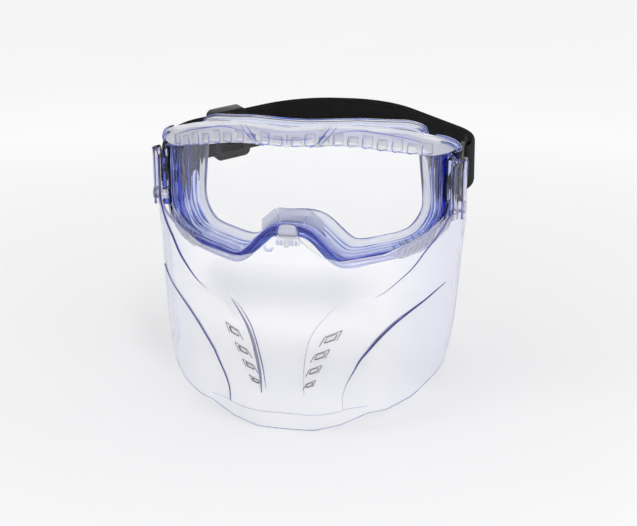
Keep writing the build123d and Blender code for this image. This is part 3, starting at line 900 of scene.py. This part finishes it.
def surface_line(name, line, width, height, material, out=0.1):
    """Thin bead along a line of (x, z) on the guard's outer skin."""
    centres, normals = [], []
    for x, z in line:
        dx = guard_point(x + 0.2, z, out) - guard_point(x - 0.2, z, out)
        dz = guard_point(x, z + 0.2, out) - guard_point(x, z - 0.2, out)
        normal = np.cross(dx, dz)
        centres.append(guard_point(x, z, out))
        normals.append(normal / np.linalg.norm(normal))
    count = len(centres)
    width, height = np.broadcast_to(width, count), np.broadcast_to(height, count)
    return cord_tube(name, centres, normals, width, height, material, "guard",
                     ring=6)


def crease(name, line, right, left):
    """Painted dark line along a fold of the guard, standing for its refraction. Its half width follows the
    numbers given for each side, set by how the light falls there, so the two sides differ.
    """
    count, height = 70, 0.5
    for (tag, mirror), weight in zip(SIDES, (right, left)):
        if not weight:
            continue
        path = sampled(line, count)
        amount = np.interp(np.linspace(0, 1, count), np.linspace(0, 1, len(weight)), weight)
        keep = [k for k in range(count) if amount[k] > 0.03]
        line_points = [(path[k][0] * mirror, path[k][1]) for k in keep]
        surface_line(f"{name}_{tag}", line_points, amount[keep], np.minimum(amount[keep], height),
                     NAVY)


crease("crease_upper", UPPER_CREASE,
       [0.3, 0.38, 0.34, 0.18, 0.0, 0.0], [0.8, 1.15, 0.95, 0.4, 0.0, 0.0])
crease("crease_lower", LOWER_CREASE,
       [0.15, 0.7, 1.05, 1.1, 0.6, 0.15, 0.06], [0.5, 0.95, 1.15, 1.25, 1.2, 0.9, 0.4])
crease("crease_inner", INNER_CREASE,
       [0.05, 0.12, 0.12, 0.08], [0.2, 0.6, 0.9, 0.95, 0.85, 0.3])
crease("crease_second", SECOND_CREASE, [], [0.1, 0.25, 0.3, 0.3, 0.1])

# painted shadow: dark lines round each slot and round its frame
for tag, mirror in SIDES:
    for i, (slot, outer) in enumerate(zip(SLOTS, SLOT_FRAMES)):
        ring = [np.array((x * mirror, z)) for x, z in rounded(slot, SLOT_CORNER)]
        ring = spread(ring, 0.8)
        surface_line(f"slot_rim_{i}_{tag}", ring + [ring[0], ring[1]], 0.28, 0.3, PAINTED_SLOT_SHADOW, -0.2)
        corner_line = []
        for a, b in zip(outer[:-1], outer[1:]):
            a, b = np.array(a), np.array(b)
            corner_line += [a + (b - a) * k / 8 for k in range(8)]
        corner_line.append(np.array(outer[-1]))
        surface_line(f"slot_frame_{i}_{tag}", [(x * mirror, z) for x, z in corner_line], 0.28, 0.3,
                     PAINTED_SLOT_SHADOW)


def edge_line(edge_of, shares, lift):
    """Points along the guard's top or bottom edge, lifted a little."""
    line = []
    for share in shares:
        z = float(edge_of(abs(share)))
        line.append((float(guard_half(z)) * share, z + lift))
    return line


# painted shade: thin dark lines along the guard's bottom and top edges and its inner lip, for their
# refraction
surface_line("guard_bottom_bead", edge_line(bottom_of, np.linspace(-0.985, 0.985, 240), 0.4),
             0.25, 0.3, EDGE, -0.3)
for tag, mirror in SIDES:
    surface_line(f"guard_top_bead_{tag}", edge_line(top_of, mirror * np.linspace(0.66, 0.985, 50), -0.3),
                 0.2, 0.25, EDGE, -0.4)
INNER_LIP = [(-44, -104), (-35, -104.4), (-26.7, -106.5), (-14, -107.8), (0, -107.6),
             (14, -107.8), (26.7, -106.5), (35, -104.4), (44, -104)]
surface_line("guard_lip_line", sampled(INNER_LIP, 90), 0.14, 0.2, EDGE, -0.5)


GUARD_SIDE = 88.7       # the guard's widest half, where the ears stand
GUARD_DEPTH = 54.5
GUARD_BACK = 10.0
EAR_HALF, EAR_TOP, EAR_FOOT = 9.0, 27.0, -6.0
EAR_FLAT = -4.0         # from here back the ear is flat, to pass the pin's head


def ear_x(y):
    """The guard's half width at the ears, as its skin curves in plan."""
    return GUARD_SIDE * math.sqrt(1 - ((GUARD_BACK - y) / GUARD_DEPTH) ** 2)


def make_ear(side, tag):
    """Upright tab: the guard's skin carried up, flat where it passes the pin's head."""
    columns, rows = 25, 36
    skins = []
    for out, flat in ((0.35, GUARD_SIDE), (-1.3, GUARD_SIDE - 1.45)):
        for j in range(rows):
            for i in range(columns):
                y = EAR_HALF * (2 * i / (columns - 1) - 1)
                corner = max(0.0, abs(y) - 3.0) / 6.0
                top = EAR_TOP - 6 * (1 - math.sqrt(max(0.0, 1 - corner ** 2)))
                z = EAR_FOOT + (top - EAR_FOOT) * j / (rows - 1)
                x = ear_x(y) + out
                if y > EAR_FLAT:
                    x = max(x, flat)
                border = min(i, columns - 1 - i, rows - 1 - j)
                soft = (0.55, 0.2, 0.0)[min(border, 2)]
                skins.append((side * (x - soft if out > 0 else x + soft * 0.5), y, z))
    per = rows * columns
    points, faces = double_skin(skins[:per], skins[per:], rows, columns)
    add_mesh(f"guard_ear_{tag}", points, faces, EAR, "guard", sharp=50)

    # painted shade: a dark navy line round the ear's edge, for its refraction
    front, shoulder = EAR_HALF - 0.3, EAR_TOP - 6
    rim = [(side * (ear_x(-front) + 0.2), -front, z) for z in (-2, 4, 10, 14)]
    for angle in np.linspace(-0.1, math.pi + 0.1, 40):
        y = -front * math.cos(angle)
        if 0 < angle < math.pi:
            z = shoulder + 5.8 * math.sin(angle)
        else:
            z = shoulder - 60 * (abs(angle - math.pi / 2) - math.pi / 2)
        x = ear_x(y) + 0.2
        rim.append((side * (max(x, GUARD_SIDE) if y > EAR_FLAT else x), y, z))
    count = len(rim)
    cord_tube(f"guard_ear_rim_{tag}", rim, [(side, -0.4, 0.2)] * count, [0.34] * count, [0.34] * count,
              NAVY, "guard", ring=6)


for tag, mirror in SIDES:
    make_ear(mirror, tag)


# ---------- strap ----------
def fillet_path(corners, radii):
    """Open path in plan with its inner corners rounded."""
    path = [np.array(corners[0], float)]
    for i, radius in enumerate(radii):
        path += corner_arc(corners[i], corners[i + 1], corners[i + 2], radius, 17)
    path.append(np.array(corners[-1], float))
    return np.array(path)


def even(path, spacing):
    """The same path with evenly spaced points, and how far along it each one is."""
    along = distances(path)
    count = int(along[-1] / spacing) + 1
    t = np.linspace(0, along[-1], count)
    return np.stack([np.interp(t, along, path[:, k]) for k in (0, 1)], 1), t


STRAP_WIDTH, STRAP_THICKNESS = 25.0, 1.6
CORD_PITCH, CORD_RELIEF = 1.25, 0.09    # the lengthwise cords of the knitted elastic
TILT = math.radians(10.6)
PIVOT_Y, PIVOT_Z = (pin_low[1] + pin_high[1]) / 2, (pin_low[2] + pin_high[2]) / 2


def tipped(x, y, z):
    """A point of the level strap, tipped about the pivots."""
    dy, dz = y - PIVOT_Y, z - PIVOT_Z
    return (x, PIVOT_Y + dy * math.cos(TILT) - dz * math.sin(TILT),
            PIVOT_Z + dy * math.sin(TILT) + dz * math.cos(TILT))


def webbing(name, path, node, mirror=False):
    """Ribbed webbing along a level line, then tipped about the pivots. It stands for a CAD node."""
    height, thickness = STRAP_WIDTH, STRAP_THICKNESS
    path, along = even(path, 1.3)
    step_along = unit(np.gradient(path, axis=0))
    side = np.stack([-step_along[:, 1], step_along[:, 0]], 1)
    rows = 101
    section = []
    for k in range(rows):
        v = -height / 2 + height * k / (rows - 1)
        edge = min(1.0, (height / 2 - abs(v)) / 0.8)
        bulge = math.sqrt(max(0.0, 1 - (1 - edge) ** 2))
        ridge = CORD_RELIEF * math.cos(2 * math.pi * v / CORD_PITCH) * edge
        section.append((v, thickness / 2 * (0.35 + 0.65 * bulge) + ridge - CORD_RELIEF))
    points, uvs = [], []
    loop = section + [(v, -d) for v, d in reversed(section)]
    for p, s, a in zip(path, side, along):
        for v, d in loop:
            x = p[0] + s[0] * d
            y = p[1] + s[1] * d
            px, py, pz = tipped(x, y, PIVOT_Z + v)
            points.append((-px if mirror else px, py, pz))
            uvs.append((a, v))
    return add_mesh(name, points, tube_faces(len(path), len(loop)), WEB, "strap",
                    (node,), uv=uvs, sharp=60)


CLIP_INNER, CLIP_THICKNESS, CLIP_REACH = 83.7, 2.2, 17.0
BAR_RADIUS, BAR_GAP = 1.1, 0.1
BAR_X = CLIP_INNER + CLIP_THICKNESS / 2
BAR_Y = PIVOT_Y + CLIP_REACH
LOOP = BAR_RADIUS + BAR_GAP + STRAP_THICKNESS / 2   # the webbing's middle line round the bar
TEMPLE, BACK = (94.0, 43.0), (29.0, 104.0)
TEMPLE_RADIUS, BACK_RADIUS = 30, 64
SEWN_LENGTH = 22        # of the end sewn beside the right bar
SLIDER_PLACE = 42       # along the run from the temple to the back
lead_length = math.hypot(TEMPLE[0] - BAR_X, TEMPLE[1] - BAR_Y)
lead = math.atan2(TEMPLE[0] - BAR_X, TEMPLE[1] - BAR_Y) - math.asin(LOOP / lead_length)
out_x, out_y = math.cos(lead), -math.sin(lead)
START = (BAR_X + LOOP * out_x, BAR_Y + LOOP * out_y)
right_run = [START, TEMPLE, BACK]
route = right_run + [(-x, y) for x, y in reversed(right_run)]
route_radii = [TEMPLE_RADIUS, BACK_RADIUS, BACK_RADIUS, TEMPLE_RADIUS]
webbing("webbing_band", fillet_path(route, route_radii), "strap_band")

run = np.array(BACK) - np.array(TEMPLE)
run /= np.linalg.norm(run)
in_run = np.array([-run[1], run[0]])
in_lead = np.array([-out_x, -out_y])


def inner_line(shift, reach):
    """Line inside the strap's own, as far past the temple as reach."""
    share = shift / (1 + in_lead @ in_run)
    corner = np.array(TEMPLE) + share * (in_lead + in_run)
    first = np.array(START) + shift * in_lead
    last = np.array(TEMPLE) + run * reach + shift * in_run
    return fillet_path([first, corner, last], [TEMPLE_RADIUS - shift])


webbing("webbing_inner_layer", inner_line(2 * LOOP, SLIDER_PLACE + 27), "strap_inner_layer",
        mirror=True)
sewn = inner_line(2 * LOOP, SLIDER_PLACE)
webbing("webbing_sewn_end", sewn[sewn[:, 1] < BAR_Y + SEWN_LENGTH], "strap_sewn_end")


def make_fold(tag, mirror):
    """The webbing's half turn round the clip's bar."""
    arc = []
    for k in range(13):
        angle = -math.pi * k / 12
        lx, ly = LOOP * math.cos(angle), LOOP * math.sin(angle)
        c, s = math.cos(-lead), math.sin(-lead)
        arc.append((BAR_X + c * lx - s * ly, BAR_Y + s * lx + c * ly))
    arc = np.array(arc)
    webbing(f"webbing_fold_{tag}", arc, f"strap_fold_{tag}", mirror)


make_fold("right", False)
make_fold("left", True)


# ---------- CAD nodes that stay, with their own finish ----------
FINISH = {
    "side_post_right": PVC, "side_post_left": PVC,
    "pivot_pin_right": PVC, "pivot_pin_left": PVC,
    "lower_vent_right": PVC, "lower_vent_left": PVC, "brow_baffle": TRIM,
    "nose_flaps": FLAP,
    "strap_stitching": WEB,
    "guard_nose_peg": GUARD, "guard_stud_right": GUARD, "guard_stud_left": GUARD,
}
for node, material in FINISH.items():
    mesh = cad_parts[node].data
    mesh.materials.clear()
    mesh.materials.append(material)


for tag in ("right", "left"):
    softened_copy(f"clip_{tag}", f"strap_clip_{tag}", BLACK, "strap", 0.35)
    softened_copy(f"bracket_{tag}", f"side_bracket_{tag}", BLACK, "goggle", 0.4)
softened_copy("tri_glide", "strap_slider", BLACK, "slider", 0.5)


# ---------- floor, light and camera ----------
def place(name, data, where, aim):
    """Lamp that stands at where and points at aim."""
    item = bpy.data.objects.new(name, data)
    bpy.context.collection.objects.link(item)
    item.location = Vector(where)
    item.rotation_euler = (item.location - Vector(aim)).to_track_quat("Z", "Y").to_euler()
    return item


def area_light(name, where, aim, size, power):
    data = bpy.data.lights.new(name, "AREA")
    data.shape = "RECTANGLE"
    data.size, data.size_y = size
    data.energy = power
    return place(name, data, where, aim)


scene = bpy.context.scene
floor_z = cad_low[2]
floor_mesh = bpy.data.meshes.new("floor")
floor_mesh.from_pydata([(-30, -6, floor_z), (30, -6, floor_z), (30, 60, floor_z), (-30, 60, floor_z)],
                       [], [(0, 1, 2, 3)])
floor = bpy.data.objects.new("floor", floor_mesh)
bpy.context.collection.objects.link(floor)
paper, tree, shader, _ = new_material("pale_floor")
where = tree.nodes.new("ShaderNodeTexCoord")
reach = tree.nodes.new("ShaderNodeVectorMath")
reach.operation = "LENGTH"
tree.links.new(where.outputs["Object"], reach.inputs[0])
# painted shade: the floor's colour is darker near the goggle and paler further off
painted_floor_shade = ramp(tree, reach.outputs["Value"], (0.72, 0.72, 0.72), (0.95, 0.95, 0.95), (0.2, 1.0))
grain = ramp(tree, noise(tree, 3), (0.99, 0.99, 0.99), (1, 1, 1))
tree.links.new(multiplied(tree, painted_floor_shade, grain), shader.inputs["Base Color"])
shader.inputs["Emission Color"].default_value = (1, 1, 1, 1)
shader.inputs["Emission Strength"].default_value = 0.085
shader.inputs["Roughness"].default_value = 0.9
floor_mesh.materials.append(paper)

world = bpy.data.worlds.new("studio")
scene.world = world
world.use_nodes = True
sky = world.node_tree
facing = sky.nodes.new("ShaderNodeTexCoord")
split = sky.nodes.new("ShaderNodeSeparateXYZ")
sky.links.new(facing.outputs["Generated"], split.inputs[0])
sideways = sky.nodes.new("ShaderNodeMath")
sideways.operation = "ABSOLUTE"
sky.links.new(split.outputs["X"], sideways.inputs[0])
flags = ramp(sky, sideways.outputs[0], (0.94, 0.94, 0.945), (0.40, 0.41, 0.46), (0.70, 0.84))
sky.links.new(flags, sky.nodes["Background"].inputs[0])
area_light("key", (-0.35, -0.6, 0.9), (0, 0, -0.03), (0.8, 0.5), 1.5)
area_light("streak", (0.25, -0.5, 0.75), (0, 0, 0), (0.08, 0.6), 2.2)
area_light("fill", (0.6, -0.5, 0.5), (0, 0, -0.03), (0.4, 0.8), 0.6)

# the camera stands to the right of the wearer's nose and a little above it
turn, lift = 0.22807, 0.27305
distance, aside, drop = 616.58, 7.163, 35.735
back = Vector((math.sin(turn) * math.cos(lift), -math.cos(turn) * math.cos(lift), math.sin(lift)))
across = Vector((math.cos(turn), math.sin(turn), 0))
camera_data = bpy.data.cameras.new("camera")
camera = bpy.data.objects.new("camera", camera_data)
bpy.context.collection.objects.link(camera)
camera.location = (back * distance + across * aside - back.cross(across) * drop) * MM
camera.rotation_euler = back.to_track_quat("Z", "Y").to_euler()
camera_data.sensor_width = 36
camera_data.lens = 1100 / 637 * 36
scene.camera = camera
scene.view_settings.view_transform = "Standard"
